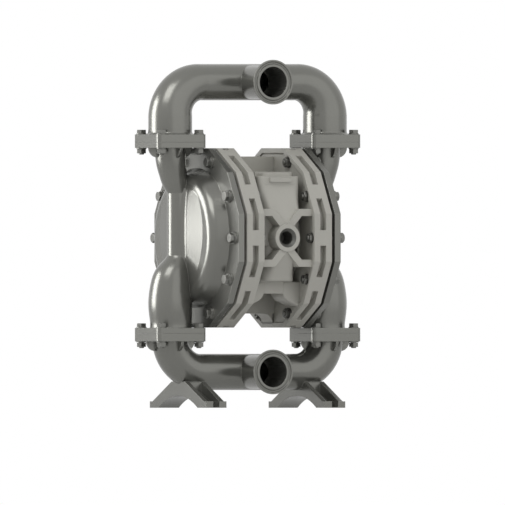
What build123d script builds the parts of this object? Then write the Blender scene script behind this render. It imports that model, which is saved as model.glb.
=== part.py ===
from build123d import *
import math
import os

# Air operated diaphragm pump with a sanitary ferrule on each manifold.
# Millimetres. X runs along the shaft, the ports and the air inlet face -Y, Z is up.
# The pieces are drawn about the shaft axis, and write() lifts them to stand on Z = 0.

# Main distances
axis_height = 192.0           # shaft axis above the floor
port_x = 99.0                 # each port column from the middle
joint_z = 108.0               # square flange joints above and below the shaft axis
discharge_z = 176.0           # axis of the top pipe above the shaft axis
inlet_z = -151.5              # axis of the bottom pipe below the shaft axis
rim_apothem = 101.4           # half width across the flats of the twelve-sided rims

fuse = 1.0                    # how far fused shapes reach into each other

# Pipes and ferrules
pipe_od = 41.0
pipe_wall = 3.0
bend_radius = 38.0
ferrule_od = 50.5
ferrule_neck_od = 38.1
port_bore_d = 34.8
ferrule_edge = 1.6
ferrule_bevel = 2.3
ferrule_face_y = -62.0
gasket_groove_r = 21.8
gasket_groove_size = 1.6

# Square flanges
flange_width = 62.0
flange_corner = 5.6
chamber_flange_t = 6.3
manifold_flange_t = 9.0
flange_bolt_pitch = 48.0
leg_flare = 3.4
gusset_t = 3.2
gusset_reach = 10.0
gusset_drop = 11.0

# Valve balls, seats and cages
ball_d = 36.0
ball_rest_gap = 0.3
seat_bore_d = 28.0
seat_chamfer = 2.0
seat_od = 45.0
seat_sink = 3.5               # depth of the seat in each flange of its joint
seat_ring_gap = 3.3           # from the seat's side to the middle of its O-ring
seat_o_ring_section = 2.0
o_ring_groove_gap = 0.3
cage_od = 49.6
cage_wall = 4.4

# Liquid chambers
liquid_in = 57.9
liquid_flange_t = 7.4
liquid_wall = 4.5
dome_wall_r = 5.0             # the dome's foot outside the diaphragm bead
dome_taper = 9.0
dome_apex_x = 85.0
dome_shoulder = 14.0
outer_tube_x = 88.6
outer_tube_od = 25.6
outer_tube_fillet = 9.0
outer_tube_top = 54.0
outer_tube_bottom = -24.0
tube_bore_top = 89.7
neck_od = 35.0
bulb_shoulder_z = -66.0

# Sections that blend the tube into the neck above and the bulb below: height above the
# shaft axis, and how far the section has grown from the tube (0) to the full column (1)
neck_sections = [(103.0, 1.0), (97.5, 1.0), (90.0, 0.95), (84.0, 0.89), (74.4, 0.72),
                 (62.0, 0.44), (54.0, 0.155), (49.0, -0.06)]
bulb_sections = [(-103.0, 1.0), (-73.5, 1.0), (-57.0, 0.925), (-41.4, 0.74), (-31.8, 0.48),
                 (-23.0, 0.10), (-17.5, -0.04)]
neck_bore_length = 47.5
cage_bore_dome = 37.2
bore_tip_r = 1.0              # flat tip of the neck bore and of the cage bore

# Saddle under the outer tube: where two shallow cones overlap on the dome
saddle_r = 78.0
saddle_offset = 26.5
saddle_z = 7.0
saddle_slope = 6.5
saddle_edge_inset = 8.0      # the saddle stops this far inside the dome's shoulder
saddle_edge_slope = 20.0
saddle_sections = [-52.0, -40.0, -26.0, -12.0, 0.0, 12.0, 26.0, 40.0, 56.0]
saddle_end_share = 0.5        # size of the tube fillet at the last section
quarter_curve = 0.5523        # handle length that makes a quarter ellipse

# Air chambers
rim_in = 32.0
rim_out = 54.2
ridge_w = 5.6
recess_depth = 2.0
recess_fillet = 1.5
hub_r = 62.0
air_floor_x = 38.0
air_floor_r = 54.0
air_mouth_margin = 2.0
air_slope = 9.0
slot_w = 7.4
slot_depth = 9.0
slot_middle_x = 43.1
slot_ends = [(5.0, 26.0), (36.3, 65.9), (73.1, 106.9), (114.1, 143.7), (154.0, 175.0)]

# Chamber bolts, as angles about the shaft from the front
chamber_bolt_inset = 9.0
chamber_bolt_angles = [0.0, 30.5, 67.5, 112.5, 149.5, 180.0, -30.5, -67.5, -112.5, -149.5]
spot_face_r = 6.8
spot_face_sink = 0.4          # each nut's spot face below the recess floor
bolt_pad_r = 7.0
bolt_pad_t = 2.4

# Fasteners
bolt_d = 6.0
bolt_clearance = 0.3
hex_flats = 10.0
head_h = 4.0
nut_h = 5.0
washer_od = 12.6
flange_washer_od = 11.6
washer_t = 1.2
thread_past_nut = 1.4

# Diaphragms, pistons and shaft
diaphragm_inset = 13.4
diaphragm_bead_w = 14.0
diaphragm_t = 3.7
diaphragm_arch = 5.0
piston_r = 50.0
piston_edge = 1.0
inner_piston_t = 5.0
inner_piston_taper = 4.0
outer_piston_t = 5.0
outer_piston_taper = 5.0
outer_piston_boss_r = 17.0
outer_piston_boss_t = 4.0
outer_piston_boss_taper = 2.0
shaft_r = 9.0
shaft_end_r = 6.0
shaft_stroke = 10.0
shaft_fit = 0.03
shaft_clearance = 1.0
bushing_r = 12.0
bushing_in = 20.0
seal_t = 4.0
bushing_flush = 1.0           # the bushing stops this far short of the air chamber floor

# Centre block
gasket_t = 1.0
core_r = 58.0
column_half_w = 24.0
column_front_y = -62.0
body_half_w = 26.0
body_front_y = -78.0
body_top_z = 69.6
body_corner = 7.0
lower_body_half_w = 21.0
lower_body_z = -48.6
lower_body_corner = 12.0
toe_half_w = 10.0
toe_front_y = -56.0
toe_z = -60.0
crest_h = 3.6
crest_half_w = 19.0
crest_depth = 43.4
tab_half_w = 13.6
tab_t = 2.6
tab_z = 63.0
tab_h = 5.0
upper_beam_bottom = 73.7
upper_beam_inset = 9.4        # below the rim's flat
lower_beam_top = -62.0
lower_beam_inset = 15.9
lower_beam_flare = 11.5
beam_back_y = 26.0
boss_od = 31.3
boss_face_y = -97.0
air_port_r = 7.5
air_port_depth = 24.0
air_port_chamfer = 3.4
arm_w = 8.2
arm_z = 28.7
arm_knee_x = 17.0
arm_root_z = 9.0
arm_front_y = -95.2
ramp_front_y = -93.0
ramp_end_z = 45.0
ramp_half_w = 16.0
lower_ramp_half_w = 10.0
back_face_y = 58.5
back_half_w = 29.0
back_half_h = 52.0

# Centre screws
centre_screw_r = 46.0
centre_screw_angles = [20.0, 68.0, 112.0, 160.0, 200.0, 248.0, 292.0, 340.0]
centre_screw_d = 6.0
centre_screw_head_d = 12.0
centre_screw_reach = 16.0

# Pilot valve
pilot_y = 27.0
pilot_sleeve_r = 8.0
pilot_r = 5.0
pilot_fit = 0.05
pilot_stroke = 2.5
pilot_end_gap = 0.4
pilot_groove = 1.2
pilot_groove_half_w = 3.0

# Air valve on the back
valve_half_w = 25.5
valve_depth = 37.0
valve_half_h = 40.0
valve_corner = 6.0
cap_t = 8.0
valve_bore_r = 12.0
valve_fit = 0.05
valve_travel = 6.0
cap_spigot = 2.7
spool_groove = 3.0
spool_groove_h = 9.0
exhaust_port_r = 9.3
exhaust_port_depth = 9.5
exhaust_way_r = 6.0
exhaust_boss_r = 15.5
exhaust_boss_t = 4.0
exhaust_boss_root = 2.0
valve_screw_pitch_x = 38.0
valve_screw_pitch_z = 44.0
valve_screw_d = 5.0
valve_screw_head_d = 8.5
valve_screw_head_h = 5.0
valve_screw_reach = 12.0
cap_screw_reach = 12.0
valve_cap_gap = 0.3
cap_screw_pitch_x = 36.0
cap_screw_pitch_y = 26.0

# Feet
foot_x = 76.0
foot_w = 26.0
foot_half_length = 67.8
foot_pad_share = 0.246        # pad thickness as a share of the foot's height
foot_pad_length = 6.2
foot_below_pipe = 10.8        # top of each foot below the pipe axis
foot_top_half = 15.8
arch_half = 46.8
arch_share = 0.458            # rise of the arch as a share of the foot's height
foot_rib = 5.6
pocket_inset = 2.0
pocket_rise = 8.0
foot_slot_w = 8.0
foot_slot_length = 12.5

pipe_r = pipe_od / 2
bore_r = pipe_r - pipe_wall
cage_r = cage_od / 2
tube_r = outer_tube_od / 2
seat_o_ring_r = seat_od / 2 + seat_ring_gap
chamber_bolt_r = rim_apothem - chamber_bolt_inset
diaphragm_r = rim_apothem - diaphragm_inset
diaphragm_bead_in = diaphragm_r - diaphragm_bead_w
air_mouth_r = diaphragm_bead_in + air_mouth_margin
dome_base_r = diaphragm_bead_in + dome_wall_r
dome_top_r = dome_base_r - dome_taper
upper_beam_top = rim_apothem - upper_beam_inset
lower_beam_bottom = lower_beam_inset - rim_apothem
spool_half = valve_half_h - cap_spigot - valve_travel / 2 - valve_cap_gap
foot_top = axis_height + inlet_z - foot_below_pipe
foot_pad_t = foot_top * foot_pad_share
arch_rise = foot_top * arch_share
liquid_out = liquid_in + liquid_flange_t
head_seat_x = liquid_out + bolt_pad_t
flange_out_z = joint_z - chamber_flange_t
recess_x = rim_in + recess_depth
spot_x = recess_x + spot_face_sink
hole_r = bolt_d / 2 + bolt_clearance
slit_middle_x = (rim_out + liquid_in) / 2
diaphragm_in = slit_middle_x - diaphragm_t / 2
diaphragm_face = slit_middle_x + diaphragm_t / 2
bushing_out = air_floor_x - bushing_flush
valve_y = back_face_y + gasket_t + valve_depth / 2


def rod_x(r, x0, x1, y=0.0, z=0.0):
    return Pos((x0 + x1) / 2, y, z) * Rot(0, 90, 0) * Cylinder(r, x1 - x0)


def rod_y(r, y0, y1, x=0.0, z=0.0):
    return Pos(x, (y0 + y1) / 2, z) * Rot(90, 0, 0) * Cylinder(r, y1 - y0)


def rod_z(r, z0, z1, x=0.0, y=0.0):
    return Pos(x, y, (z0 + z1) / 2) * Cylinder(r, z1 - z0)


def block(x0, x1, y0, y1, z0, z1):
    return Pos((x0 + x1) / 2, (y0 + y1) / 2, (z0 + z1) / 2) * Box(x1 - x0, y1 - y0, z1 - z0)


def rounded_post(half_w, y0, y1, z0, z1, corner):
    """A vertical block with rounded vertical edges, about the plane X = 0."""
    base = Pos(0, (y0 + y1) / 2, z0) * RectangleRounded(2 * half_w, y1 - y0, corner)
    return extrude(base, z1 - z0)


def turned_x(points):
    """A solid turned about the shaft axis from (x, radius) points."""
    return revolve(make_face(Polyline(*points, close=True)), Axis.X)


def turned_z(points):
    """A solid turned about a vertical axis from (radius, z) points."""
    return revolve(Plane.XZ * make_face(Polyline(*points, close=True)), Axis.Z)


def turned_y(points):
    """A solid turned about the Y axis from (radius, y) points."""
    return revolve(make_face(Polyline(*points, close=True)), Axis.Y)


def twelve_sided(apothem, x0, x1):
    face = RegularPolygon(apothem, 12, major_radius=False, rotation=15)
    return extrude(Pos(x0, 0, 0) * (Plane.YZ * face), x1 - x0)


def round_the_shaft(angle, radius):
    """The (y, z) place at an angle from the front, measured towards the top."""
    a = math.radians(angle)
    return -radius * math.cos(a), radius * math.sin(a)


def hexagon(height):
    return extrude(RegularPolygon(hex_flats / 2, 6, major_radius=False), height)


def other_side(piece):
    return mirror(piece, about=Plane.YZ)


def group(pieces):
    return Compound(children=[p for piece in pieces for p in piece.solids()])


def half_ellipsoid(radius, height, base_z):
    """The upper half of an upright ellipsoid with a tiny flat top, standing on base_z."""
    side = Bezier((radius, 0), (radius, quarter_curve * height), (quarter_curve * radius, height),
                  (bore_tip_r, height))
    outline = side + Polyline((bore_tip_r, height), (0, height), (0, 0), (radius, 0))
    return Pos(0, 0, base_z) * revolve(Plane.XZ * make_face(outline), Axis.Z)


def square_flange(z0, z1):
    face = RectangleRounded(flange_width, flange_width, flange_corner)
    return extrude(Pos(port_x, 0, z0) * face, z1 - z0)


def flange_bolt_places():
    half = flange_bolt_pitch / 2
    return [(port_x + sx * half, sy * half) for sx in (-1, 1) for sy in (-1, 1)]


def flange_holes(z0, z1):
    return [rod_z(hole_r, z0, z1, x, y) for x, y in flange_bolt_places()]


def flange_gussets(column_r, root_z, drop):
    """Four thin quarter-round ribs between a column and its flange."""
    reach = column_r + gusset_reach
    top = (reach, root_z)
    foot = (column_r - fuse, root_z + drop)
    swell = (column_r + 0.62 * gusset_reach, root_z + 0.72 * drop)
    outline = Polyline(foot, (column_r - fuse, root_z), top) + ThreePointArc(top, swell, foot)
    rib = extrude(Plane.XZ * make_face(outline), gusset_t / 2, both=True)
    return [Pos(port_x, 0, 0) * Rot(0, 0, 90 * i) * rib for i in range(4)]


def flare_ring(column_r, z, up):
    """A concave fillet ring between a column and the flange face at z."""
    r = leg_flare
    inside = column_r - fuse
    ring = turned_z([(inside, 0), (column_r + r, 0), (column_r + r, r), (inside, r)])
    ring -= Pos(0, 0, r) * Torus(column_r + r, r)
    ring = ring if up else mirror(ring, about=Plane.XY)
    return Pos(port_x, 0, z) * ring


def elbow(centre_z, r_pipe, r_leg, up):
    """A quarter bend from the level pipe to the port column."""
    way = 1 if up else -1
    x0 = port_x - bend_radius
    level = (x0, 0, centre_z)
    upright = (port_x, 0, centre_z + way * bend_radius)
    k = bend_radius * math.sqrt(0.5)
    middle = (x0 + k, 0, centre_z + way * (bend_radius - k))
    path = ThreePointArc(level, middle, upright)
    start = Plane(origin=path @ 0, x_dir=(0, 1, 0), z_dir=path % 0)
    end = Plane(origin=path @ 1, x_dir=(0, 1, 0), z_dir=path % 1)
    return sweep([start * Circle(r_pipe), end * Circle(r_leg)], path=path, multisection=True)


def ferrule(z):
    """The clamp ferrule and its neck, facing -Y."""
    face = ferrule_face_y
    r = ferrule_od / 2
    neck = ferrule_neck_od / 2
    bevel_y = face + ferrule_edge + ferrule_bevel
    outline = [(0, 0), (neck, 0), (neck, bevel_y), (r, face + ferrule_edge), (r, face), (0, face)]
    body = turned_y(outline)
    groove = Rot(90, 0, 0) * Torus(gasket_groove_r, gasket_groove_size)
    return Pos(0, 0, z) * (body - Pos(0, face, 0) * groove)


def level_pipe(r, z):
    half = port_x - bend_radius
    return rod_x(r, -half, half, 0, z)


def blended_column(sections, full_r):
    """The casting between the outer tube and a full round column, through level circles."""
    circles = []
    for z, share in sections:
        x = outer_tube_x + (port_x - outer_tube_x) * share
        circles.append(Pos(x, 0, z) * Circle(tube_r + (full_r - tube_r) * share))
    return loft(circles)


def saddle_height(y, z):
    """X of the saddle at a place on the dome."""
    reach = math.hypot(abs(y) + saddle_offset, z - saddle_z)
    return dome_apex_x + (saddle_r - reach) * math.tan(math.radians(saddle_slope))


def shallow_cone(r, slope):
    rise = r * math.tan(math.radians(slope))
    return turned_x([(dome_apex_x, 0), (dome_apex_x, r), (dome_apex_x + rise, 0)])


def saddle():
    """A low lens on the dome, shared by two shallow cones whose axes lie either side of the tube."""
    cone = shallow_cone(saddle_r, saddle_slope)
    lens = (Pos(0, -saddle_offset, saddle_z) * cone) & (Pos(0, saddle_offset, saddle_z) * cone)
    return lens & shallow_cone(dome_top_r - saddle_edge_inset, saddle_edge_slope)


def tube_fillet():
    """The hollow fillets between the outer tube and the saddle, through level sections."""
    faces = []
    for z in saddle_sections:
        end = abs(z - saddle_z) / (saddle_z - saddle_sections[0])
        r = outer_tube_fillet * (1 - (1 - saddle_end_share) * end)
        floor = saddle_height(tube_r + r / 2, z)
        centre_x = floor + r
        centre_y = math.sqrt((tube_r + r) ** 2 - (centre_x - outer_tube_x) ** 2)
        touch = tube_r / (tube_r + r)
        x = outer_tube_x + touch * (centre_x - outer_tube_x)
        y = touch * centre_y
        turn = (math.atan2(y - centre_y, x - centre_x) + 3 * math.pi) / 2
        middle = (centre_x + r * math.cos(turn), centre_y + r * math.sin(turn))
        base = dome_apex_x - liquid_wall
        outline = Polyline((base, -centre_y), (floor, -centre_y))
        outline += ThreePointArc((floor, -centre_y), (middle[0], -middle[1]), (x, -y))
        outline += Line((x, -y), (x, y)) + ThreePointArc((x, y), middle, (floor, centre_y))
        outline += Polyline((floor, centre_y), (base, centre_y), (base, -centre_y))
        faces.append(Pos(0, 0, z) * make_face(outline))
    return loft(faces)


def liquid_chamber():
    """Right-hand liquid chamber, a casting with its own ball cage and port flanges."""
    dome = make_face(Polyline((liquid_in, 0), (liquid_in, dome_base_r), (liquid_out, dome_base_r),
                              (dome_apex_x, dome_top_r), (dome_apex_x, 0), close=True))
    shoulder = dome.vertices().sort_by(Axis.X)[-2:].sort_by(Axis.Y)[-1]
    body = revolve(fillet(shoulder, dome_shoulder), Axis.X)
    body += twelve_sided(rim_apothem, liquid_in, liquid_out)

    body += saddle() + tube_fillet() + rod_z(tube_r, outer_tube_bottom, outer_tube_top, outer_tube_x)
    body += blended_column(neck_sections, neck_od / 2) + blended_column(bulb_sections, cage_r)
    body += square_flange(flange_out_z, joint_z) + square_flange(-joint_z, -flange_out_z)
    for rib in flange_gussets(neck_od / 2, flange_out_z, -gusset_drop):
        body += rib

    for angle in chamber_bolt_angles:
        y, z = round_the_shaft(angle, chamber_bolt_r)
        body += rod_x(bolt_pad_r, liquid_in, head_seat_x, y, z)

    cavity_foot = liquid_in - fuse
    cavity = make_face(Polyline((cavity_foot, 0), (cavity_foot, dome_base_r - liquid_wall),
                                (liquid_out, dome_base_r - liquid_wall),
                                (dome_apex_x - liquid_wall, dome_top_r - liquid_wall),
                                (dome_apex_x - liquid_wall, 0), close=True))
    corner = cavity.vertices().sort_by(Axis.X)[-2:].sort_by(Axis.Y)[-1]
    body -= revolve(fillet(corner, dome_shoulder - liquid_wall), Axis.X)
    inner_tube_r = tube_r - liquid_wall
    body -= rod_z(inner_tube_r, bulb_shoulder_z, tube_bore_top, outer_tube_x)
    body -= block(dome_apex_x - 2 * liquid_wall, outer_tube_x, -inner_tube_r, inner_tube_r,
                  -outer_tube_top + liquid_wall, outer_tube_top - liquid_wall)
    neck_bore = half_ellipsoid(neck_od / 2 - liquid_wall, neck_bore_length, -joint_z)
    cage_bore = half_ellipsoid(cage_r - cage_wall, cage_bore_dome, bulb_shoulder_z)
    cage_bore += rod_z(cage_r - cage_wall, -joint_z, bulb_shoulder_z)
    seat_pocket = rod_z(seat_od / 2, joint_z - seat_sink, joint_z)
    bores = mirror(neck_bore, about=Plane.XY) + cage_bore
    bores += seat_pocket + mirror(seat_pocket, about=Plane.XY)
    body -= Pos(port_x, 0, 0) * bores
    for hole in flange_holes(flange_out_z, joint_z) + flange_holes(-joint_z, -flange_out_z):
        body -= hole
    for angle in chamber_bolt_angles:
        y, z = round_the_shaft(angle, chamber_bolt_r)
        body -= rod_x(hole_r, liquid_in, head_seat_x, y, z)
    return body


def rim_slot(start, end):
    """One blind slot that follows the rim between two angles from the front."""
    x0 = slot_middle_x - slot_w / 2
    x1 = slot_middle_x + slot_w / 2
    band = twelve_sided(rim_apothem + 2, x0, x1) - twelve_sided(rim_apothem - slot_depth, x0, x1)
    far = 1.5 * rim_apothem
    corners = [(0, 0), round_the_shaft(start, far), round_the_shaft(end, far)]
    wedge = extrude(Pos(x0, 0, 0) * (Plane.YZ * make_face(Polyline(*corners, close=True))), slot_w)
    return band & wedge


def air_chamber():
    """Right-hand air chamber: slotted rim, recessed inner face and flat hub."""
    body = twelve_sided(rim_apothem, rim_in, rim_out)
    recess = twelve_sided(rim_apothem - ridge_w, rim_in, recess_x)
    recess = fillet(recess.faces().sort_by(Axis.X)[-1].edges(), recess_fillet)
    body -= recess - rod_x(hub_r, rim_in, recess_x)
    body -= turned_x([(rim_out, 0), (rim_out, air_mouth_r), (air_floor_x + air_slope, air_mouth_r),
                      (air_floor_x, air_floor_r), (air_floor_x, 0)])
    for start, end in slot_ends:
        slot = rim_slot(start, end)
        body -= slot
        body -= mirror(slot, about=Plane.XY)
    for angle in chamber_bolt_angles:
        y, z = round_the_shaft(angle, chamber_bolt_r)
        body -= rod_x(hole_r, rim_in, rim_out, y, z)
        body -= rod_x(spot_face_r, rim_in, spot_x, y, z)
    body -= rod_x(bushing_r, rim_in, air_floor_x)
    body -= rod_x(pilot_sleeve_r, rim_in, air_floor_x, pilot_y)
    for angle in centre_screw_angles:
        y, z = round_the_shaft(angle, centre_screw_r)
        body -= centre_screw(y, z)
    return body


def centre_screw(y, z):
    """A countersunk screw from the air chamber floor into the centre block."""
    head_r = centre_screw_head_d / 2
    r = centre_screw_d / 2
    sink = head_r - r
    tip = rim_in - centre_screw_reach
    outline = [(tip, 0), (tip, r), (air_floor_x - sink, r), (air_floor_x, head_r), (air_floor_x, 0)]
    return Pos(0, y, z) * turned_x(outline)


def centre_screws():
    places = [round_the_shaft(a, centre_screw_r) for a in centre_screw_angles]
    return group([centre_screw(y, z) for y, z in places])


def centre_gasket():
    body = rod_x(core_r, rim_in - gasket_t, rim_in) - rod_x(bushing_r, rim_in - gasket_t, rim_in)
    body -= rod_x(pilot_sleeve_r, rim_in - gasket_t, rim_in, pilot_y)
    for angle in centre_screw_angles:
        y, z = round_the_shaft(angle, centre_screw_r)
        body -= rod_x(centre_screw_d / 2, rim_in - gasket_t, rim_in, y, z)
    return body


def arm(side_x, side_z):
    """One arm, from the air boss out to a rim."""
    knee = (side_x * arm_knee_x, side_z * arm_z)
    root = (0, side_z * arm_root_z)
    end = (side_x * rim_in, side_z * arm_z)
    half = arm_w / 2
    slope = math.atan2(knee[1] - root[1], knee[0] - root[0])
    length = math.hypot(knee[1] - root[1], knee[0] - root[0])
    bar = Pos(root[0], root[1]) * Rot(0, 0, math.degrees(slope)) * (
        Pos(length / 2, 0) * Rectangle(length, arm_w))
    tail = Pos((knee[0] + end[0]) / 2, knee[1]) * Rectangle(abs(end[0] - knee[0]), arm_w)
    face = bar + Pos(*knee) * Circle(half) + tail
    return extrude(Pos(0, arm_front_y, 0) * (Plane.XZ * face), column_front_y - arm_front_y, dir=(0, 1, 0))


def ramp(half_w):
    """The slope between two arms, from behind the air boss back to the body's front."""
    steep = (arm_z - arm_root_z) / arm_knee_x
    root = arm_root_z + steep * half_w
    front = Polyline((0, arm_root_z), (half_w, root), (half_w, ramp_end_z), (-half_w, ramp_end_z),
                     (-half_w, root), close=True)
    deep = ramp_front_y - column_front_y
    post = extrude(Pos(0, column_front_y, 0) * (Plane.XZ * make_face(front)), -deep)
    side = Polyline((ramp_front_y, arm_root_z), (body_front_y, ramp_end_z),
                    (column_front_y, ramp_end_z), (column_front_y, arm_root_z), close=True)
    wedge = extrude(Plane.YZ * make_face(side), half_w, both=True)
    return post & wedge


def centre_block():
    """Middle casting: core, front body, air boss, four arms and two beams."""
    end_x = rim_in - gasket_t
    body = rod_x(core_r, -end_x, end_x)
    body += block(-column_half_w, column_half_w, column_front_y, beam_back_y,
                  lower_beam_top - fuse, upper_beam_bottom + fuse)
    body += rounded_post(body_half_w, body_front_y, 0, -arm_root_z, body_top_z, body_corner)
    body += rounded_post(lower_body_half_w, body_front_y, 0, lower_body_z, 0, lower_body_corner)
    body += rounded_post(toe_half_w, toe_front_y, 0, toe_z, lower_body_z, body_corner)
    crest_y = body_front_y + tab_t
    body += rounded_post(crest_half_w, crest_y, crest_y + crest_depth,
                         body_top_z, body_top_z + crest_h, body_corner)
    body += block(-tab_half_w, tab_half_w, body_front_y - tab_t, body_front_y, tab_z, tab_z + tab_h)
    body += block(-recess_x, recess_x, 0, beam_back_y, upper_beam_bottom, upper_beam_top)
    lower = block(-recess_x, recess_x, 0, beam_back_y, lower_beam_bottom, lower_beam_top)
    for side in (-1, 1):
        r = lower_beam_flare
        x = side * (rim_in - r / 2)
        corner = Pos(x, beam_back_y / 2, lower_beam_bottom - r / 2) * Box(r, beam_back_y, r)
        lower += corner - rod_y(r, 0, beam_back_y, side * (rim_in - r), lower_beam_bottom - r)
    body += lower
    body += block(-back_half_w, back_half_w, 0, back_face_y, -back_half_h, back_half_h)
    for side_x in (-1, 1):
        for side_z in (-1, 1):
            body += arm(side_x, side_z)
    body += ramp(ramp_half_w) + mirror(ramp(lower_ramp_half_w), about=Plane.XY)
    body += rod_y(boss_od / 2, boss_face_y, column_front_y)
    body -= rod_y(air_port_r, boss_face_y, boss_face_y + air_port_depth)
    body -= turned_y([(0, boss_face_y), (air_port_r + air_port_chamfer, boss_face_y),
                      (air_port_r, boss_face_y + air_port_chamfer), (0, boss_face_y + air_port_chamfer)])
    far = rim_in
    body -= rod_x(shaft_r + shaft_clearance, -far, far)
    body -= rod_x(pilot_sleeve_r, -far, far, pilot_y)
    for side in (-1, 1):
        body -= rod_x(bushing_r, *sorted((side * (bushing_in - seal_t), side * far)))
        for angle in centre_screw_angles:
            y, z = round_the_shaft(angle, centre_screw_r)
            hole = centre_screw(y, z)
            body -= hole if side > 0 else other_side(hole)
    for x, z in valve_screw_places():
        body -= rod_y(valve_screw_d / 2, back_face_y - valve_screw_reach, back_face_y, x, z)
    return body


def valve_screw_places():
    half_x = valve_screw_pitch_x / 2
    half_z = valve_screw_pitch_z / 2
    return [(sx * half_x, sz * half_z) for sx in (-1, 1) for sz in (-1, 1)]


def discharge_manifold():
    """Top casting: level pipe, two elbows that widen into ball cages, flanges, ferrule."""
    bend_z = discharge_z - bend_radius
    flange_top = joint_z + manifold_flange_t
    side = elbow(discharge_z, pipe_r, cage_r, False)
    side += rod_z(cage_r, flange_top, bend_z, port_x)
    side += square_flange(joint_z, flange_top)
    side += flare_ring(cage_r, flange_top, True)
    body = level_pipe(pipe_r, discharge_z) + side + other_side(side)
    body += ferrule(discharge_z)
    way = elbow(discharge_z, bore_r, cage_r - cage_wall, False)
    way += rod_z(cage_r - cage_wall, joint_z, bend_z, port_x)
    way += rod_z(seat_od / 2, joint_z, joint_z + seat_sink, port_x)
    way += o_ring_groove(joint_z)
    for hole in flange_holes(joint_z, flange_top):
        way += hole
    body -= way
    body -= other_side(way)
    body -= level_pipe(bore_r, discharge_z)
    body -= rod_y(port_bore_d / 2, ferrule_face_y, 0, 0, discharge_z)
    return body


def o_ring_groove(z):
    half = seat_o_ring_section / 2 + o_ring_groove_gap
    groove = rod_z(seat_o_ring_r + half, z, z + seat_o_ring_section)
    groove -= rod_z(seat_o_ring_r - half, z, z + seat_o_ring_section)
    return Pos(port_x, 0, 0) * groove


def foot():
    """A cast foot with a sloping pocket on each end and an arch underneath."""
    l, t = foot_half_length, foot_top_half
    shoulder = l - foot_pad_length
    right = [(t, foot_top), (shoulder, foot_pad_t), (l, foot_pad_t), (l, 0), (arch_half, 0)]
    left = [(-y, z) for y, z in reversed(right)]
    outline = Polyline(*left, *right)
    outline += ThreePointArc((arch_half, 0), (0, arch_rise), (-arch_half, 0))
    body = extrude(Plane.YZ * make_face(outline), foot_w / 2, both=True)
    pocket_half = foot_w / 2 - foot_rib
    floor = arch_rise + foot_rib / 2
    inner = t + pocket_inset
    pocket = [(shoulder, foot_pad_t), (shoulder, foot_top), (inner, foot_top + pocket_rise),
              (inner, floor), ((t + shoulder) / 2, foot_pad_t)]
    cut = extrude(Plane.YZ * make_face(Polyline(*pocket, close=True)), pocket_half, both=True)
    slot = block(-foot_slot_w / 2, foot_slot_w / 2, l - foot_slot_length, l, 0, foot_top)
    slot += rod_z(foot_slot_w / 2, 0, foot_top, 0, l - foot_slot_length)
    for piece in (cut, slot):
        body -= piece
        body -= mirror(piece, about=Plane.XZ)
    return Pos(foot_x, 0, -axis_height) * body


def inlet_manifold():
    """Bottom casting: level pipe, two elbows, gusseted flanges, ferrule and two feet."""
    flange_low = -joint_z - manifold_flange_t
    side = elbow(inlet_z, pipe_r, pipe_r, True) + foot()
    side += square_flange(flange_low, -joint_z)
    for rib in flange_gussets(pipe_r, flange_low, -gusset_drop):
        side += rib
    body = level_pipe(pipe_r, inlet_z) + side + other_side(side)
    body += ferrule(inlet_z)
    way = elbow(inlet_z, bore_r, bore_r, True)
    way += rod_z(bore_r, inlet_z + bend_radius, -joint_z, port_x)
    way += rod_z(seat_od / 2, -joint_z - seat_sink, -joint_z, port_x)
    way += mirror(o_ring_groove(joint_z), about=Plane.XY)
    for hole in flange_holes(flange_low, -joint_z):
        way += hole
    body -= way
    body -= other_side(way)
    body -= level_pipe(bore_r, inlet_z)
    body -= rod_y(port_bore_d / 2, ferrule_face_y, 0, 0, inlet_z)
    return body


def seat(joint):
    """A turned ball seat ring, clamped in both flanges of its joint."""
    bore = seat_bore_d / 2
    r = seat_od / 2
    low, high = joint - seat_sink, joint + seat_sink
    ring = turned_z([(bore, low), (r, low), (r, high), (bore + seat_chamfer, high),
                     (bore, high - seat_chamfer)])
    return Pos(port_x, 0, 0) * ring


def seat_o_ring(z):
    ring = Torus(seat_o_ring_r, seat_o_ring_section / 2)
    return Pos(port_x, 0, z + seat_o_ring_section / 2) * ring


def ball_centre(joint):
    """Height of a ball that rests on the lower edge of the seat's chamfer at this joint."""
    above = math.sqrt((ball_d / 2) ** 2 - (seat_bore_d / 2) ** 2)
    return joint + seat_sink - seat_chamfer + above + ball_rest_gap


def ball(joint):
    return Pos(port_x, 0, ball_centre(joint)) * Sphere(ball_d / 2)


def flange_fasteners(z_top, z_bottom):
    """Bolts, nuts and washers of one square flange pair, heads on top."""
    places = flange_bolt_places()
    r = bolt_d / 2
    tip = z_bottom - washer_t - nut_h - thread_past_nut
    bolt = Pos(0, 0, z_top + washer_t) * hexagon(head_h) + rod_z(r, tip, z_top + washer_t)
    nut = Pos(0, 0, z_bottom - washer_t - nut_h) * (hexagon(nut_h) - rod_z(r, 0, nut_h))
    washer = rod_z(flange_washer_od / 2, 0, washer_t) - rod_z(r, 0, washer_t)
    washers = [Pos(0, 0, z_top) * washer, Pos(0, 0, z_bottom - washer_t) * washer]
    return ([Pos(x, y, 0) * bolt for x, y in places], [Pos(x, y, 0) * nut for x, y in places],
            [Pos(x, y, 0) * w for x, y in places for w in washers])


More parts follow.
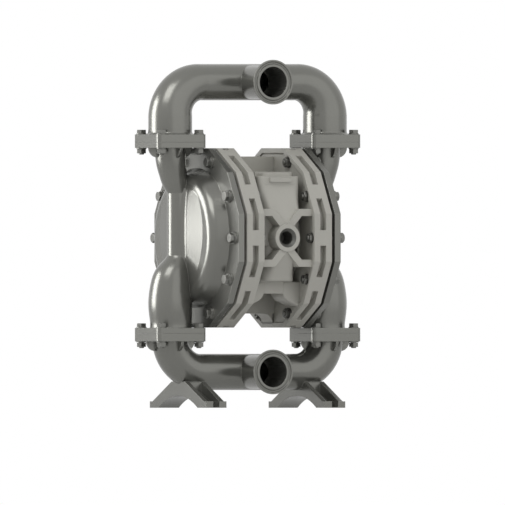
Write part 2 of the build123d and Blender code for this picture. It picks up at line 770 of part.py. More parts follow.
def chamber_fasteners():
    """Bolts, nuts and washers round the right-hand chamber pair, heads outside."""
    r = bolt_d / 2
    tip = spot_x - washer_t - nut_h - thread_past_nut
    turn = Rot(0, 90, 0)
    bolt = Pos(head_seat_x + washer_t, 0, 0) * turn * hexagon(head_h)
    bolt += rod_x(r, tip, head_seat_x + washer_t)
    nut = Pos(spot_x - washer_t - nut_h, 0, 0) * turn * (hexagon(nut_h) - rod_z(r, 0, nut_h))
    washer = rod_x(washer_od / 2, 0, washer_t) - rod_x(r, 0, washer_t)
    bolts, nuts, washers = [], [], []
    for angle in chamber_bolt_angles:
        place = Pos(0, *round_the_shaft(angle, chamber_bolt_r)) * Rot(angle, 0, 0)
        bolts.append(place * bolt)
        nuts.append(place * nut)
        washers.append(place * Pos(head_seat_x, 0, 0) * washer)
        washers.append(place * Pos(spot_x - washer_t, 0, 0) * washer)
    return group(bolts), group(nuts), group(washers)


def diaphragm():
    """A rubber disc with a clamped bead, a shallow convolution and a clamped middle."""
    low, high = diaphragm_in, diaphragm_face
    r0, r1 = piston_r, diaphragm_bead_in
    middle = (r0 + r1) / 2
    inner_arc = ThreePointArc((low, r1), (low + diaphragm_arch, middle), (low, r0))
    outer_arc = ThreePointArc((high, r0), (high + diaphragm_arch, middle), (high, r1))
    outline = Polyline((low, r0), (low, shaft_end_r), (high, shaft_end_r), (high, r0))
    outline += outer_arc + Polyline((high, r1), (high, diaphragm_r), (low, diaphragm_r), (low, r1))
    return revolve(make_face(outline + inner_arc), Axis.X)


def inner_piston():
    face = diaphragm_in
    rim = face - inner_piston_t / 2
    outline = [(face, shaft_end_r), (face, piston_r - piston_edge), (rim, piston_r),
               (face - inner_piston_t, piston_r - inner_piston_taper),
               (face - inner_piston_t, shaft_end_r)]
    return turned_x(outline)


def outer_piston():
    face = diaphragm_face
    top = face + outer_piston_t
    boss = top + outer_piston_boss_t
    body = turned_x([(face, 0), (face, piston_r - piston_edge), (face + outer_piston_t / 2, piston_r),
                     (top, piston_r - outer_piston_taper), (top, outer_piston_boss_r),
                     (boss, outer_piston_boss_r - outer_piston_boss_taper), (boss, 0)])
    return body - rod_x(shaft_end_r, face, top)


def diaphragm_shaft():
    shoulder = diaphragm_in - inner_piston_t
    tip = diaphragm_face + outer_piston_t
    return rod_x(shaft_r, -shoulder, shoulder) + rod_x(shaft_end_r, -tip, tip)


def shaft_bushing():
    bore = shaft_r + shaft_fit
    return rod_x(bushing_r, bushing_in, bushing_out) - rod_x(bore, bushing_in, bushing_out)


def shaft_seal():
    bore = shaft_r + shaft_fit
    inside = bushing_in - seal_t
    return rod_x(bushing_r, inside, bushing_in) - rod_x(bore, inside, bushing_in)


def pilot_sleeve():
    out = bushing_out
    return rod_x(pilot_sleeve_r, -out, out, pilot_y) - rod_x(pilot_r + pilot_fit, -out, out, pilot_y)


def pilot_spool():
    """The pilot pin, whose ends stay clear of the pistons over its own travel."""
    reach = air_floor_x + (diaphragm_in - inner_piston_t - shaft_stroke - air_floor_x)
    half = reach - pilot_end_gap - pilot_stroke
    body = rod_x(pilot_r, -half, half, pilot_y)
    for x in (-half / 2, 0, half / 2):
        x0 = x - pilot_groove_half_w
        x1 = x + pilot_groove_half_w
        body -= rod_x(pilot_r, x0, x1, pilot_y) - rod_x(pilot_r - pilot_groove, x0, x1, pilot_y)
    return body


def valve_plan(half_w, y0, y1, z0, z1):
    return rounded_post(half_w, y0, y1, z0, z1, valve_corner)


def air_valve_body():
    """The air distribution valve on the back, with an upright spool bore."""
    y0 = back_face_y + gasket_t
    body = valve_plan(valve_half_w, y0, y0 + valve_depth, -valve_half_h, valve_half_h)
    mouth = y0 + valve_depth + exhaust_boss_t
    body += rod_y(exhaust_boss_r, y0 + exhaust_boss_root, mouth)
    body -= rod_y(exhaust_way_r, valve_y, mouth)
    body -= rod_y(exhaust_port_r, mouth - exhaust_port_depth, mouth)
    body -= rod_z(valve_bore_r, -valve_half_h, valve_half_h, 0, valve_y)
    for x, z in valve_screw_places():
        body -= valve_screw(x, z)
    for x, y in cap_screw_places():
        body -= rod_z(valve_screw_d / 2, valve_half_h - cap_screw_reach, valve_half_h, x, y)
        body -= rod_z(valve_screw_d / 2, -valve_half_h, cap_screw_reach - valve_half_h, x, y)
    return body


def valve_screw(x, z):
    """A cap screw through the air valve body into the centre block."""
    face = back_face_y + gasket_t + valve_depth
    shank = rod_y(valve_screw_d / 2, back_face_y - valve_screw_reach, face, x, z)
    return shank + rod_y(valve_screw_head_d / 2, face - valve_screw_head_h, face, x, z)


def valve_screws():
    return group([valve_screw(x, z) for x, z in valve_screw_places()])


def cap_screw_places():
    half_x = cap_screw_pitch_x / 2
    half_y = cap_screw_pitch_y / 2
    middle = back_face_y + gasket_t + valve_depth / 2
    return [(sx * half_x, middle + sy * half_y) for sx in (-1, 1) for sy in (-1, 1)]


def cap_screw(x, y):
    top = valve_half_h + cap_t
    shank = rod_z(valve_screw_d / 2, valve_half_h - cap_screw_reach, top, x, y)
    return shank + rod_z(valve_screw_head_d / 2, top, top + valve_screw_head_h, x, y)


def cap_screws():
    upper = [cap_screw(x, y) for x, y in cap_screw_places()]
    return group(upper + [mirror(screw, about=Plane.XY) for screw in upper])


def air_valve_cap():
    """The upper end cap, with a spigot in the spool bore."""
    y0 = back_face_y + gasket_t
    cap = valve_plan(valve_half_w, y0, y0 + valve_depth, valve_half_h, valve_half_h + cap_t)
    cap += rod_z(valve_bore_r, valve_half_h - cap_spigot, valve_half_h, 0, valve_y)
    for x, y in cap_screw_places():
        cap -= rod_z(valve_screw_d / 2, valve_half_h, valve_half_h + cap_t, x, y)
    return cap


def air_valve_spool():
    """The spool at the bottom of its travel, with three grooves."""
    r = valve_bore_r - valve_fit
    low = -spool_half - valve_travel / 2
    body = rod_z(r, low, low + 2 * spool_half, 0, valve_y)
    for i in (-1, 0, 1):
        z = low + spool_half + i * spool_half / 2
        groove = rod_z(r, z - spool_groove_h / 2, z + spool_groove_h / 2, 0, valve_y)
        body -= groove - rod_z(r - spool_groove, z - spool_groove_h, z + spool_groove_h, 0, valve_y)
    return body


def air_valve_gasket():
    half_h = valve_half_h
    body = rounded_post(valve_half_w, back_face_y, back_face_y + gasket_t, -half_h, half_h, 0.4)
    for x, z in valve_screw_places():
        body -= rod_y(valve_screw_d / 2, back_face_y, back_face_y + gasket_t, x, z)
    return body


def write(name, piece):
    solids = [Pos(0, 0, axis_height) * solid for solid in piece.solids()]
    export_step(Compound(children=solids), os.path.join("parts", name + ".step"))


def write_pair(name, piece):
    write(name + "_right", piece)
    write(name + "_left", other_side(piece))


def both_sides(pieces):
    return group(list(pieces) + [other_side(p) for p in pieces])


os.makedirs("parts", exist_ok=True)

write_pair("liquid_chamber", liquid_chamber())
write_pair("air_chamber", air_chamber())
write("centre_block", centre_block())
write("discharge_manifold", discharge_manifold())
write("inlet_manifold", inlet_manifold())

for name, piece in (("diaphragm", diaphragm()), ("inner_piston", inner_piston()),
                    ("outer_piston", outer_piston()), ("shaft_bushing", shaft_bushing()),
                    ("shaft_seal", shaft_seal()), ("centre_gasket", centre_gasket()),
                    ("centre_screws", centre_screws())):
    write_pair(name, piece)
write("diaphragm_shaft", diaphragm_shaft())

for name, joint in (("inlet", -joint_z), ("discharge", joint_z)):
    write_pair(name + "_ball", ball(joint))
    write_pair(name + "_seat", seat(joint))
lower_ring = mirror(seat_o_ring(joint_z), about=Plane.XY)
write("seat_o_rings", both_sides([seat_o_ring(joint_z), lower_ring]))

chamber_bolts, chamber_nuts, chamber_washers = chamber_fasteners()
write_pair("chamber_bolts", chamber_bolts)
write_pair("chamber_nuts", chamber_nuts)
write_pair("chamber_washers", chamber_washers)
flange_pairs = (("discharge", joint_z + manifold_flange_t, flange_out_z),
                ("inlet", -flange_out_z, -joint_z - manifold_flange_t))
for name, z_top, z_bottom in flange_pairs:
    bolts, nuts, washers = flange_fasteners(z_top, z_bottom)
    write(name + "_bolts", both_sides(bolts))
    write(name + "_nuts", both_sides(nuts))
    write(name + "_washers", both_sides(washers))

write("pilot_sleeve", pilot_sleeve())
write("pilot_spool", pilot_spool())
write("air_valve_body", air_valve_body())
write("air_valve_spool", air_valve_spool())
write("air_valve_gasket", air_valve_gasket())
write("air_valve_cap_top", air_valve_cap())
write("air_valve_cap_bottom", mirror(air_valve_cap(), about=Plane.XY))
write("air_valve_screws", valve_screws())
write("air_valve_cap_screws", cap_screws())
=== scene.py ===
import bpy
from math import cos, radians, sin
from mathutils import Matrix, Vector


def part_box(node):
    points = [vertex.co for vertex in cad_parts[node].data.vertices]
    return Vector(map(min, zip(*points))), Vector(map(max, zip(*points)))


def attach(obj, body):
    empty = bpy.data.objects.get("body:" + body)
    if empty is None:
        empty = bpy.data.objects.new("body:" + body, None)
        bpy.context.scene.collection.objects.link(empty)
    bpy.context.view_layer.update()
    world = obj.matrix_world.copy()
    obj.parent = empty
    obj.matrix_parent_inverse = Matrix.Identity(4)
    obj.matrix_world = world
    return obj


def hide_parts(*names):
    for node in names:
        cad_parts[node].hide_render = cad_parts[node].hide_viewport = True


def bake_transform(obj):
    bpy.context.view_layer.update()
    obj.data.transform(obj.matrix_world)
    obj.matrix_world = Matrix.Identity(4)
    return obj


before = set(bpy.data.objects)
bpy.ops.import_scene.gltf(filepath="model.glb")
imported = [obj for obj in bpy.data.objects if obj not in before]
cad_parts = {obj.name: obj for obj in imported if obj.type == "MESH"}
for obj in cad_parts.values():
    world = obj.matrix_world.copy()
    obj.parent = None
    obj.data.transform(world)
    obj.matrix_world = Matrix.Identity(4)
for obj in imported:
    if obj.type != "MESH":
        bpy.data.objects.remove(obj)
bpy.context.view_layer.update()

# Air operated diaphragm pump. Metres, X along the shaft, ports to -Y, Z up, feet on Z = 0.

# View
view_turn = -28.0             # degrees, from straight on towards the left end
view_ahead = Vector((0.4695, 0.883, 0.0))
view_right = Vector((0.883, -0.4695, 0.0))
view_scale = 0.5707
view_distance = 2.0
view_centre = view_right * 0.0056 + Vector((0.0, 0.0, 0.1755))

# Fasteners
bolt_r = 0.003
hex_flats = 0.010
hex_face_r = 0.0048           # where the chamfer meets the end face of a head or nut
hex_spare = 0.0001            # how far the turning tool reaches past the hexagon's corners
hex_chamfer = 0.0006
head_h = 0.004
tip_chamfer = 0.0007
nut_mouth = 0.0005
chamber_bolt_r = 0.0924
chamber_bolt_angles = [0.0, 30.5, 67.5, 112.5, 149.5, 180.0, -30.5, -67.5, -112.5, -149.5]
shaft_z = 0.192
port_x = 0.099
flange_bolt_half = 0.024

# Diaphragms
wedges = 12
first_wedge = 15.0            # degrees from the front
merge_gap = 0.00001

# Middle casting
body_front_y = -0.078
arm_knee_x = 0.017
arm_z = 0.0287
arm_root_z = 0.009
fairing_reach = 0.017         # how far a fairing stands out where it meets the air boss
fairing_power = 0.75
fairing_skin = 0.00015        # in front of the casting's own face
fairing_wall = 0.003
fairing_columns = 52
fairing_rows = 36
skirt_front_y = -0.0624
skirt_depth = 0.030
skirt_rounding = 0.0012
skirt_outline = [(0.012, -0.0495), (0.012, -0.0625), (0.0135, -0.0665), (0.017, -0.0702),
                 (0.0352, -0.0788), (0.0352, -0.0495)]
air_port_chamfer_r = 0.0109
air_port_floor_y = -0.070

# Finishes, linear colours
steel_colour = (0.17, 0.17, 0.155)
steel_worn = (0.27, 0.27, 0.25)
coat_colour = (0.392, 0.384, 0.347)
coat_worn = (0.47, 0.462, 0.425)
bolt_colour = (0.16, 0.16, 0.148)
bolt_worn = (0.30, 0.30, 0.28)
turned_colour = (0.42, 0.42, 0.40)
# painted shade: the bore's colour is bare metal darkened to stand in for the shade inside the hole
bare_shaded_bore_colour = (0.11, 0.11, 0.10)
bare_metallic = 0.5
aluminium_colour = (0.38, 0.38, 0.36)
rubber_colour = (0.022, 0.022, 0.022)
rubber_worn = (0.035, 0.035, 0.035)
white_colour = (0.72, 0.72, 0.69)
white_worn = (0.78, 0.78, 0.75)
bearing_colour = (0.52, 0.45, 0.27)
bearing_worn = (0.6, 0.53, 0.34)
floor_colour = (0.82, 0.82, 0.82)

# Studio
floor_width = 6.0
floor_glow_share = 0.7        # of the floor as seen and mirrored, the rest shows the lamps' shadow
room_light = 0.52             # what the room lends the object; seen or mirrored it is white, 1.0
lamp_target = Vector((0.0, 0.0, 0.2))


# Camera
camera_data = bpy.data.cameras.new("camera")
camera_data.type = "ORTHO"
camera_data.ortho_scale = view_scale
camera_data.clip_start = 0.01
camera_data.clip_end = 20.0
camera = bpy.data.objects.new("camera", camera_data)
bpy.context.scene.collection.objects.link(camera)
camera.location = view_centre - view_ahead * view_distance
camera.rotation_euler = (radians(90), 0.0, radians(view_turn))
bpy.context.scene.camera = camera
bpy.context.scene.view_settings.view_transform = "Standard"


# Shared shader groups
def new_group(name, inputs, outputs):
    """An empty shader group with its sockets, its input node and its output node."""
    group = bpy.data.node_groups.new(name, "ShaderNodeTree")
    for label, kind in inputs:
        group.interface.new_socket(label, in_out="INPUT", socket_type=kind)
    for label, kind in outputs:
        group.interface.new_socket(label, in_out="OUTPUT", socket_type=kind)
    return group, group.nodes.new("NodeGroupInput"), group.nodes.new("NodeGroupOutput")


def math_node(tree, operation, first, second=None):
    """A Math node. Each operand is a number or a socket."""
    node = tree.nodes.new("ShaderNodeMath")
    node.operation = operation
    for place, operand in enumerate((first, second)):
        if isinstance(operand, (int, float)):
            node.inputs[place].default_value = operand
        elif operand is not None:
            tree.links.new(operand, node.inputs[place])
    return node.outputs[0]


def make_surface_group():
    """Rounded edges, edge wear, slow mottling and fine grain, for castings and coated parts."""
    group, entry, leave = new_group(
        "cast surface",
        [("Colour", "NodeSocketColor"), ("Worn Colour", "NodeSocketColor"),
         ("Roughness", "NodeSocketFloat"), ("Mottle Scale", "NodeSocketFloat"),
         ("Mottle", "NodeSocketFloat"), ("Grain Scale", "NodeSocketFloat"),
         ("Grain Depth", "NodeSocketFloat"), ("Edge Radius", "NodeSocketFloat"),
         ("Wear", "NodeSocketFloat")],
        [("Colour", "NodeSocketColor"), ("Roughness", "NodeSocketFloat"),
         ("Normal", "NodeSocketVector")])
    link = group.links.new
    place = group.nodes.new("ShaderNodeTexCoord")
    shape = group.nodes.new("ShaderNodeNewGeometry")

    rounded = group.nodes.new("ShaderNodeBevel")
    rounded.samples = 6
    link(entry.outputs["Edge Radius"], rounded.inputs["Radius"])
    turn = group.nodes.new("ShaderNodeVectorMath")
    turn.operation = "DOT_PRODUCT"
    link(rounded.outputs["Normal"], turn.inputs[0])
    link(shape.outputs["Normal"], turn.inputs[1])
    edge = math_node(group, "SUBTRACT", 1.0, turn.outputs["Value"])
    edge = math_node(group, "MULTIPLY", edge, 6.0)

    mottle = group.nodes.new("ShaderNodeTexNoise")
    mottle.inputs["Detail"].default_value = 4.0
    link(place.outputs["Object"], mottle.inputs["Vector"])
    link(entry.outputs["Mottle Scale"], mottle.inputs["Scale"])
    grain = group.nodes.new("ShaderNodeTexNoise")
    grain.inputs["Detail"].default_value = 3.0
    grain.inputs["Roughness"].default_value = 0.6
    link(place.outputs["Object"], grain.inputs["Vector"])
    link(entry.outputs["Grain Scale"], grain.inputs["Scale"])

    uneven = math_node(group, "SUBTRACT", mottle.outputs["Fac"], 0.5)
    uneven = math_node(group, "MULTIPLY", uneven, entry.outputs["Mottle"])
    patchy = math_node(group, "MULTIPLY", edge, mottle.outputs["Fac"])
    worn = math_node(group, "MULTIPLY", patchy, entry.outputs["Wear"])
    worn = math_node(group, "MINIMUM", worn, 1.0)
    paint = group.nodes.new("ShaderNodeMix")
    paint.data_type = "RGBA"
    link(worn, paint.inputs["Factor"])
    link(entry.outputs["Colour"], paint.inputs["A"])
    link(entry.outputs["Worn Colour"], paint.inputs["B"])
    shade = group.nodes.new("ShaderNodeVectorMath")
    shade.operation = "SCALE"
    link(paint.outputs["Result"], shade.inputs[0])
    link(math_node(group, "ADD", uneven, 1.0), shade.inputs["Scale"])
    link(shade.outputs["Vector"], leave.inputs["Colour"])

    gloss = math_node(group, "ADD", entry.outputs["Roughness"], uneven)
    gloss = math_node(group, "SUBTRACT", gloss, math_node(group, "MULTIPLY", worn, 0.08))
    link(gloss, leave.inputs["Roughness"])

    bump = group.nodes.new("ShaderNodeBump")
    bump.inputs["Distance"].default_value = 0.0004
    link(entry.outputs["Grain Depth"], bump.inputs["Strength"])
    link(grain.outputs["Fac"], bump.inputs["Height"])
    link(rounded.outputs["Normal"], bump.inputs["Normal"])
    link(bump.outputs["Normal"], leave.inputs["Normal"])
    return group


surface_group = make_surface_group()


def new_material(name):
    """A material with its shader node."""
    material = bpy.data.materials.new(name)
    material.use_nodes = True
    return material, material.node_tree, material.node_tree.nodes["Principled BSDF"]


def surface_material(name, colour, worn, metallic, roughness, mottle_scale=38.0, mottle=0.1,
                     grain_scale=1500.0, grain=0.12, edge=0.0008, wear=0.7):
    """A casting, coating or rubber with its colour, gloss and relief from the shared group."""
    material, tree, shader = new_material(name)
    part = tree.nodes.new("ShaderNodeGroup")
    part.node_tree = surface_group
    part.inputs["Colour"].default_value = (*colour, 1.0)
    part.inputs["Worn Colour"].default_value = (*worn, 1.0)
    part.inputs["Roughness"].default_value = roughness
    part.inputs["Mottle Scale"].default_value = mottle_scale
    part.inputs["Mottle"].default_value = mottle
    part.inputs["Grain Scale"].default_value = grain_scale
    part.inputs["Grain Depth"].default_value = grain
    part.inputs["Edge Radius"].default_value = edge
    part.inputs["Wear"].default_value = wear
    shader.inputs["Metallic"].default_value = metallic
    tree.links.new(part.outputs["Colour"], shader.inputs["Base Color"])
    tree.links.new(part.outputs["Roughness"], shader.inputs["Roughness"])
    tree.links.new(part.outputs["Normal"], shader.inputs["Normal"])
    return material


cast_steel = surface_material("blasted cast steel", steel_colour, steel_worn, 0.6, 0.24,
                              mottle=0.06, grain=0.05)
coated_metal = surface_material("warm grey coating", coat_colour, coat_worn, 0.0, 0.5,
                                grain_scale=1100.0, grain=0.16, edge=0.0011, wear=0.5)
bolt_steel = surface_material("plain bolt steel", bolt_colour, bolt_worn, 0.8, 0.34,
                              mottle=0.14, grain=0.05, edge=0.0004, wear=0.8)
turned_steel = surface_material("turned steel", turned_colour, turned_colour, 1.0, 0.28,
                                grain=0.03, edge=0.0003, wear=0.2)
aluminium = surface_material("satin aluminium", aluminium_colour, steel_worn, 1.0, 0.42,
                             grain=0.1, edge=0.0006, wear=0.4)
rubber = surface_material("black rubber", rubber_colour, rubber_worn, 0.0, 0.62,
                          grain=0.1, edge=0.0004, wear=0.4)
white_plastic = surface_material("white plastic", white_colour, white_worn, 0.0, 0.4,
                                 mottle=0.04, grain=0.04, edge=0.0003, wear=0.3)
bearing_plastic = surface_material("bearing plastic", bearing_colour, bearing_worn, 0.0, 0.45,
                                   mottle=0.05, grain=0.04, edge=0.0003, wear=0.3)


def bare_and_shaded_bore(material, centre_z, radius, floor_y):
    """Bare metal in a bore that is cut from the front after coating, down to its floor, painted dark
    as shade inside the bore.
    """
    tree = material.node_tree
    shader = tree.nodes["Principled BSDF"]
    place = tree.nodes.new("ShaderNodeTexCoord")
    split = tree.nodes.new("ShaderNodeSeparateXYZ")
    tree.links.new(place.outputs["Object"], split.inputs[0])
    across = math_node(tree, "POWER", split.outputs["X"], 2.0)
    rise = math_node(tree, "SUBTRACT", split.outputs["Z"], centre_z)
    rise = math_node(tree, "POWER", rise, 2.0)
    reach = math_node(tree, "SQRT", math_node(tree, "ADD", across, rise))
    inside = math_node(tree, "LESS_THAN", reach, radius)
    ahead = math_node(tree, "LESS_THAN", split.outputs["Y"], floor_y)
    # mask of the bore, where bare metal and painted shade are laid over the coating
    bare_and_shade = math_node(tree, "MULTIPLY", inside, ahead)
    old = shader.inputs["Base Color"].links[0].from_socket
    blend = tree.nodes.new("ShaderNodeMix")
    blend.data_type = "RGBA"
    blend.inputs["B"].default_value = (*bare_shaded_bore_colour, 1.0)
    tree.links.new(bare_and_shade, blend.inputs["Factor"])
    tree.links.new(old, blend.inputs["A"])
    tree.links.new(blend.outputs["Result"], shader.inputs["Base Color"])
    tree.links.new(math_node(tree, "MULTIPLY", bare_and_shade, bare_metallic), shader.inputs["Metallic"])


# painted shade, with bare metal, inside the air port bore
bare_and_shaded_bore(coated_metal, shaft_z, air_port_chamfer_r, air_port_floor_y)

finishes = {
    "cast_stainless": cast_steel, "coated_housing": coated_metal, "fastener_steel": bolt_steel,
    "machined_stainless": turned_steel, "black_rubber": rubber, "ptfe_white": white_plastic,
    "bearing_plastic": bearing_plastic, "valve_aluminium": aluminium}
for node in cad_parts.values():
    for entry in node.material_slots:
        entry.material = finishes[entry.material.name.split(".")[0]]


# Fasteners, each modelled upright with its seat on the origin
def pick(piece):
    """Make one piece the only selected and active object."""
    bpy.ops.object.select_all(action="DESELECT")
    piece.select_set(True)
    bpy.context.view_layer.objects.active = piece


def turned(levels, segments=40):
    """A closed turned solid through (height, radius) levels, extruded upwards from the first."""
    height, radius = levels[0]
    bpy.ops.object.select_all(action="DESELECT")
    bpy.ops.mesh.primitive_circle_add(vertices=segments, radius=radius, fill_type="NGON",
                                      location=(0, 0, height))
    bpy.ops.object.transform_apply(location=True, rotation=True, scale=True)
    bpy.ops.object.mode_set(mode="EDIT")
    bpy.ops.mesh.select_mode(type="FACE")
    bpy.ops.mesh.select_all(action="SELECT")
    for next_height, next_radius in levels[1:]:
        bpy.ops.mesh.extrude_region_move(
            TRANSFORM_OT_translate={"value": (0, 0, next_height - height)})
        k = next_radius / radius
        bpy.ops.transform.resize(value=(k, k, 1), center_override=(0, 0, next_height))
        height, radius = next_height, next_radius
    bpy.ops.mesh.select_all(action="SELECT")
    bpy.ops.mesh.normals_make_consistent(inside=False)
    bpy.ops.object.mode_set(mode="OBJECT")
    return bpy.context.object


def combine(piece, tool, operation):
    """Apply one boolean step and delete its tool."""
    pick(piece)
    step = piece.modifiers.new("step", "BOOLEAN")
    step.operation = operation
    step.object = tool
    bpy.ops.object.modifier_apply(modifier=step.name)
    pick(tool)
    bpy.ops.object.delete()


def hexagon(height, lower_chamfer):
    """A hexagon bar with its corners on X, turned down at the top end or at both ends."""
    corner_r = hex_flats / 2 / cos(radians(30))
    bpy.ops.object.select_all(action="DESELECT")
    bpy.ops.mesh.primitive_cylinder_add(vertices=6, radius=corner_r, depth=height,
                                        location=(0, 0, height / 2), rotation=(0, 0, radians(30)))
    bar = bpy.context.object
    bpy.ops.object.transform_apply(location=True, rotation=True, scale=True)
    wide = corner_r + hex_spare
    lower = [(0, hex_face_r), (hex_chamfer, wide)] if lower_chamfer else [(0, wide)]
    levels = lower + [(height - hex_chamfer, wide), (height, hex_face_r)]
    combine(bar, turned(levels), "INTERSECT")
    return bar


def hex_bolt(name, length):
    """A hexagon bolt, head above its seat and shank below."""
    head = hexagon(head_h, False)
    head.name = name
    shank = turned([(-length, bolt_r - tip_chamfer), (tip_chamfer - length, bolt_r),
                    (head_h / 2, bolt_r)])
    pick(head)
    shank.select_set(True)
    bpy.ops.object.join()
    return head


def hex_nut(name, height):
    """A hexagon nut, chamfered at both ends, with a countersunk thread bore."""
    nut = hexagon(height, True)
    nut.name = name
    wide = bolt_r + nut_mouth
    bore = turned([(-nut_mouth, wide + nut_mouth), (nut_mouth, bolt_r), (height - nut_mouth, bolt_r),
                   (height + nut_mouth, wide + nut_mouth)])
    combine(nut, bore, "DIFFERENCE")
    return nut


def dress(piece, material):
    """Give a piece its material and let it ride on the housing."""
    piece.data.materials.clear()
    piece.data.materials.append(material)
    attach(piece, "housing")


def set_out(master, places, node):
    """Copy a fastener to each place, join the copies and let them stand for the CAD node."""
    copies = []
    for place in places:
        pick(master)
        bpy.ops.object.duplicate(linked=False)
        copy = bpy.context.object
        copy.matrix_world = place
        copies.append(copy)
    pick(master)
    bpy.ops.object.delete()
    for copy in copies:
        copy.select_set(True)
    bpy.context.view_layer.objects.active = copies[0]
    bpy.ops.object.join()
    piece = bpy.context.object
    piece.name = "chamfered_" + node
    bpy.ops.object.transform_apply(location=True, rotation=True, scale=True)
    bpy.ops.object.shade_smooth_by_angle(angle=radians(25))
    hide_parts(node)
    dress(piece, bolt_steel)


def chamber_places(side, seat_x):
    """Places of the chamber fasteners of one side, turned to point outwards."""
    places = []
    for angle in chamber_bolt_angles:
        a = radians(angle)
        spot = Vector((seat_x, -chamber_bolt_r * cos(a), shaft_z + chamber_bolt_r * sin(a)))
        turn = Matrix.Rotation(a, 4, "X") @ Matrix.Rotation(side * radians(90), 4, "Y")
        places.append(Matrix.Translation(spot) @ turn)
    return places


def flange_places(seat_z):
    """Places of the four fasteners of each of the two port flanges of a manifold."""
    return [Matrix.Translation((side * port_x + sx * flange_bolt_half, sy * flange_bolt_half, seat_z))
            for side in (-1, 1) for sx in (-1, 1) for sy in (-1, 1)]


for side, side_name in ((-1, "left"), (1, "right")):
    node = "chamber_bolts_" + side_name
    low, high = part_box(node)
    seat_x = high[0] - head_h if side > 0 else low[0] + head_h
    set_out(hex_bolt(node, high[0] - low[0] - head_h), chamber_places(side, seat_x), node)
    node = "chamber_nuts_" + side_name
    low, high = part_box(node)
    seat_x = low[0] if side > 0 else high[0]
    set_out(hex_nut(node, high[0] - low[0]), chamber_places(side, seat_x), node)

for joint in ("discharge", "inlet"):
    node = joint + "_bolts"
    low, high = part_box(node)
    set_out(hex_bolt(node, high[2] - low[2] - head_h), flange_places(high[2] - head_h), node)
    node = joint + "_nuts"
    low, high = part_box(node)
    set_out(hex_nut(node, high[2] - low[2]), flange_places(low[2]), node)


# Diaphragms, cut into wedges that reach from the clamped rim to the pistons
def outwards(angle):
    """Unit vector away from the shaft, in the plane of a diaphragm, at an angle from the front."""
    return Vector((0.0, -cos(angle), sin(angle)))


def diaphragm_wedge(node, number, middle):
    """One wedge of a diaphragm, cut from its CAD node between two planes through the shaft."""
    piece = bpy.data.objects.new("%s_wedge_%d" % (node, number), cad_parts[node].data.copy())
    bpy.context.scene.collection.objects.link(piece)
    pick(piece)
    centre = Vector((0.0, 0.0, shaft_z))
    half = radians(180 / wedges)
    quarter = radians(90)
    bpy.ops.object.mode_set(mode="EDIT")
    bpy.ops.mesh.select_all(action="SELECT")
    bpy.ops.mesh.remove_doubles(threshold=merge_gap)
    bpy.ops.mesh.bisect(plane_co=centre, plane_no=-outwards(middle - half + quarter),
                        use_fill=True, clear_outer=True)
    bpy.ops.mesh.select_all(action="SELECT")
    bpy.ops.mesh.bisect(plane_co=centre, plane_no=outwards(middle + half + quarter),
                        use_fill=True, clear_outer=True)
    bpy.ops.object.mode_set(mode="OBJECT")
    bpy.ops.object.shade_smooth_by_angle(angle=radians(30))
    piece.data.materials.clear()
    piece.data.materials.append(rubber)
    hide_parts(node)
    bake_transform(piece)


for node in ("diaphragm_left", "diaphragm_right"):
    for number in range(wedges):
        diaphragm_wedge(node, number, radians(first_wedge + number * 360 / wedges))


# Fairings of the middle casting, between the arms and the body
def smooth_step(value):
    """0 to 1 with a level start and end."""
    value = min(max(value, 0.0), 1.0)
    return value * value * (3.0 - 2.0 * value)


def fairing(name, side, half_w, corner, flat_w, end_z):
    """A soft slope from behind the air boss back to the body's rounded front."""
    bpy.ops.object.select_all(action="DESELECT")
    bpy.ops.mesh.primitive_grid_add(x_subdivisions=fairing_columns, y_subdivisions=fairing_rows,
                                    size=2.0)
    piece = bpy.context.object
    piece.name = name
    for point in piece.data.vertices:
        across, along = point.co.x, point.co.y * 0.5 + 0.5
        x = across * half_w
        arm = arm_root_z + (arm_z - arm_root_z) * min(abs(x) / arm_knee_x, 1.0)
        z = arm + (end_z - arm) * along
        bend = max(abs(x) - (half_w - corner), 0.0)
        front = body_front_y + corner - (corner ** 2 - bend ** 2) ** 0.5
        rise = smooth_step((end_z - z) / (end_z - arm_root_z)) ** fairing_power
        ease = smooth_step((half_w - abs(x)) / (half_w - flat_w))
        point.co = (x, front - fairing_reach * rise * ease - fairing_skin, shaft_z + side * z)
    pick(piece)
    bpy.ops.object.mode_set(mode="EDIT")
    bpy.ops.mesh.select_all(action="SELECT")
    if side < 0:
        bpy.ops.mesh.flip_normals()
    bpy.ops.object.mode_set(mode="OBJECT")
    wall = piece.modifiers.new("wall", "SOLIDIFY")
    wall.thickness = fairing_wall
    wall.offset = -1.0
    bpy.ops.object.modifier_apply(modifier=wall.name)
    bpy.ops.object.shade_smooth_by_angle(angle=radians(40))
    dress(piece, coated_metal)


def skirt(name, side):
    """The web from the toe of the middle casting to one air chamber."""
    bpy.ops.object.select_all(action="DESELECT")
    bpy.ops.mesh.primitive_circle_add(vertices=len(skirt_outline), radius=0.01, fill_type="NGON")
    piece = bpy.context.object
    piece.name = name
    for point, (x, z) in zip(piece.data.vertices, skirt_outline):
        point.co = (side * x, skirt_front_y, shaft_z + z)
    bpy.ops.object.mode_set(mode="EDIT")
    bpy.ops.mesh.select_all(action="SELECT")
    bpy.ops.mesh.extrude_region_move(TRANSFORM_OT_translate={"value": (0, skirt_depth, 0)})
    bpy.ops.mesh.select_all(action="SELECT")
    bpy.ops.mesh.normals_make_consistent(inside=False)
    bpy.ops.object.mode_set(mode="OBJECT")
    rounding = piece.modifiers.new("rounding", "BEVEL")
    rounding.width = skirt_rounding
    rounding.segments = 3
    bpy.ops.object.modifier_apply(modifier=rounding.name)
    bpy.ops.object.shade_smooth_by_angle(angle=radians(35))
    dress(piece, coated_metal)


fairing("upper_fairing", 1, 0.0259, 0.0069, 0.0163, 0.060)
fairing("lower_fairing", -1, 0.0209, 0.0119, 0.0103, 0.0478)
skirt("skirt_left", -1)
skirt("skirt_right", 1)


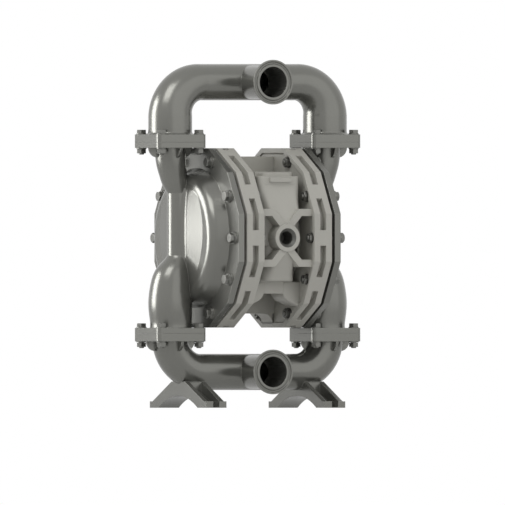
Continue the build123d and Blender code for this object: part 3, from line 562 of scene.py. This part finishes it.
# Floor and backdrop
def background_rays(tree):
    """1 for the rays that show the background: straight, mirrored and through glass."""
    paths = tree.nodes.new("ShaderNodeLightPath")
    seen = math_node(tree, "MAXIMUM", paths.outputs["Is Camera Ray"],
                     paths.outputs["Is Transmission Ray"])
    return math_node(tree, "MAXIMUM", seen, paths.outputs["Is Glossy Ray"])


floor_material, floor_tree, floor_shader = new_material("pale floor")
floor_shader.inputs["Base Color"].default_value = (*floor_colour, 1.0)
floor_shader.inputs["Roughness"].default_value = 0.9
floor_shader.inputs["Specular IOR Level"].default_value = 0.0
floor_glow = floor_tree.nodes.new("ShaderNodeEmission")
floor_mix = floor_tree.nodes.new("ShaderNodeMixShader")
floor_tree.links.new(math_node(floor_tree, "MULTIPLY", background_rays(floor_tree), floor_glow_share),
                     floor_mix.inputs[0])
floor_tree.links.new(floor_shader.outputs[0], floor_mix.inputs[1])
floor_tree.links.new(floor_glow.outputs[0], floor_mix.inputs[2])
floor_tree.links.new(floor_mix.outputs[0], floor_tree.nodes["Material Output"].inputs["Surface"])
bpy.ops.object.select_all(action="DESELECT")
bpy.ops.mesh.primitive_plane_add(size=floor_width, location=(0.0, 0.0, 0.0))
floor = bpy.context.object
floor.name = "floor"
floor.data.materials.append(floor_material)

world = bpy.data.worlds.new("studio")
world.use_nodes = True
bpy.context.scene.world = world
sky = world.node_tree
room = sky.nodes["Background"]
room.inputs["Color"].default_value = (1.0, 1.0, 1.0, 1.0)
strength = math_node(sky, "MULTIPLY", background_rays(sky), 1.0 - room_light)
strength = math_node(sky, "ADD", strength, room_light)
sky.links.new(strength, room.inputs["Strength"])


# Lamps
def soft_lamp(name, right, up, back, width, height, power):
    """A rectangular soft lamp, placed by the view and aimed at the middle of the pump."""
    data = bpy.data.lights.new(name, "AREA")
    data.shape = "RECTANGLE"
    data.size = width
    data.size_y = height
    data.energy = power
    lamp = bpy.data.objects.new(name, data)
    bpy.context.scene.collection.objects.link(lamp)
    lamp.location = lamp_target + view_right * right - view_ahead * back + Vector((0.0, 0.0, up))
    lamp.rotation_euler = (lamp_target - lamp.location).to_track_quat("-Z", "Y").to_euler()
    lamp.visible_camera = False
    return lamp


soft_lamp("key", -0.7, 1.3, 1.0, 0.9, 0.9, 10.0)
soft_lamp("fill", 1.1, 0.5, 1.1, 2.4, 1.8, 6.0)
strip = soft_lamp("strip", -1.5, 0.1, -0.13, 0.70, 1.5, 27.0)
strip.visible_diffuse = False
side = soft_lamp("side", -1.4, 0.65, 0.3, 1.1, 0.9, 2.0)
side.visible_glossy = False
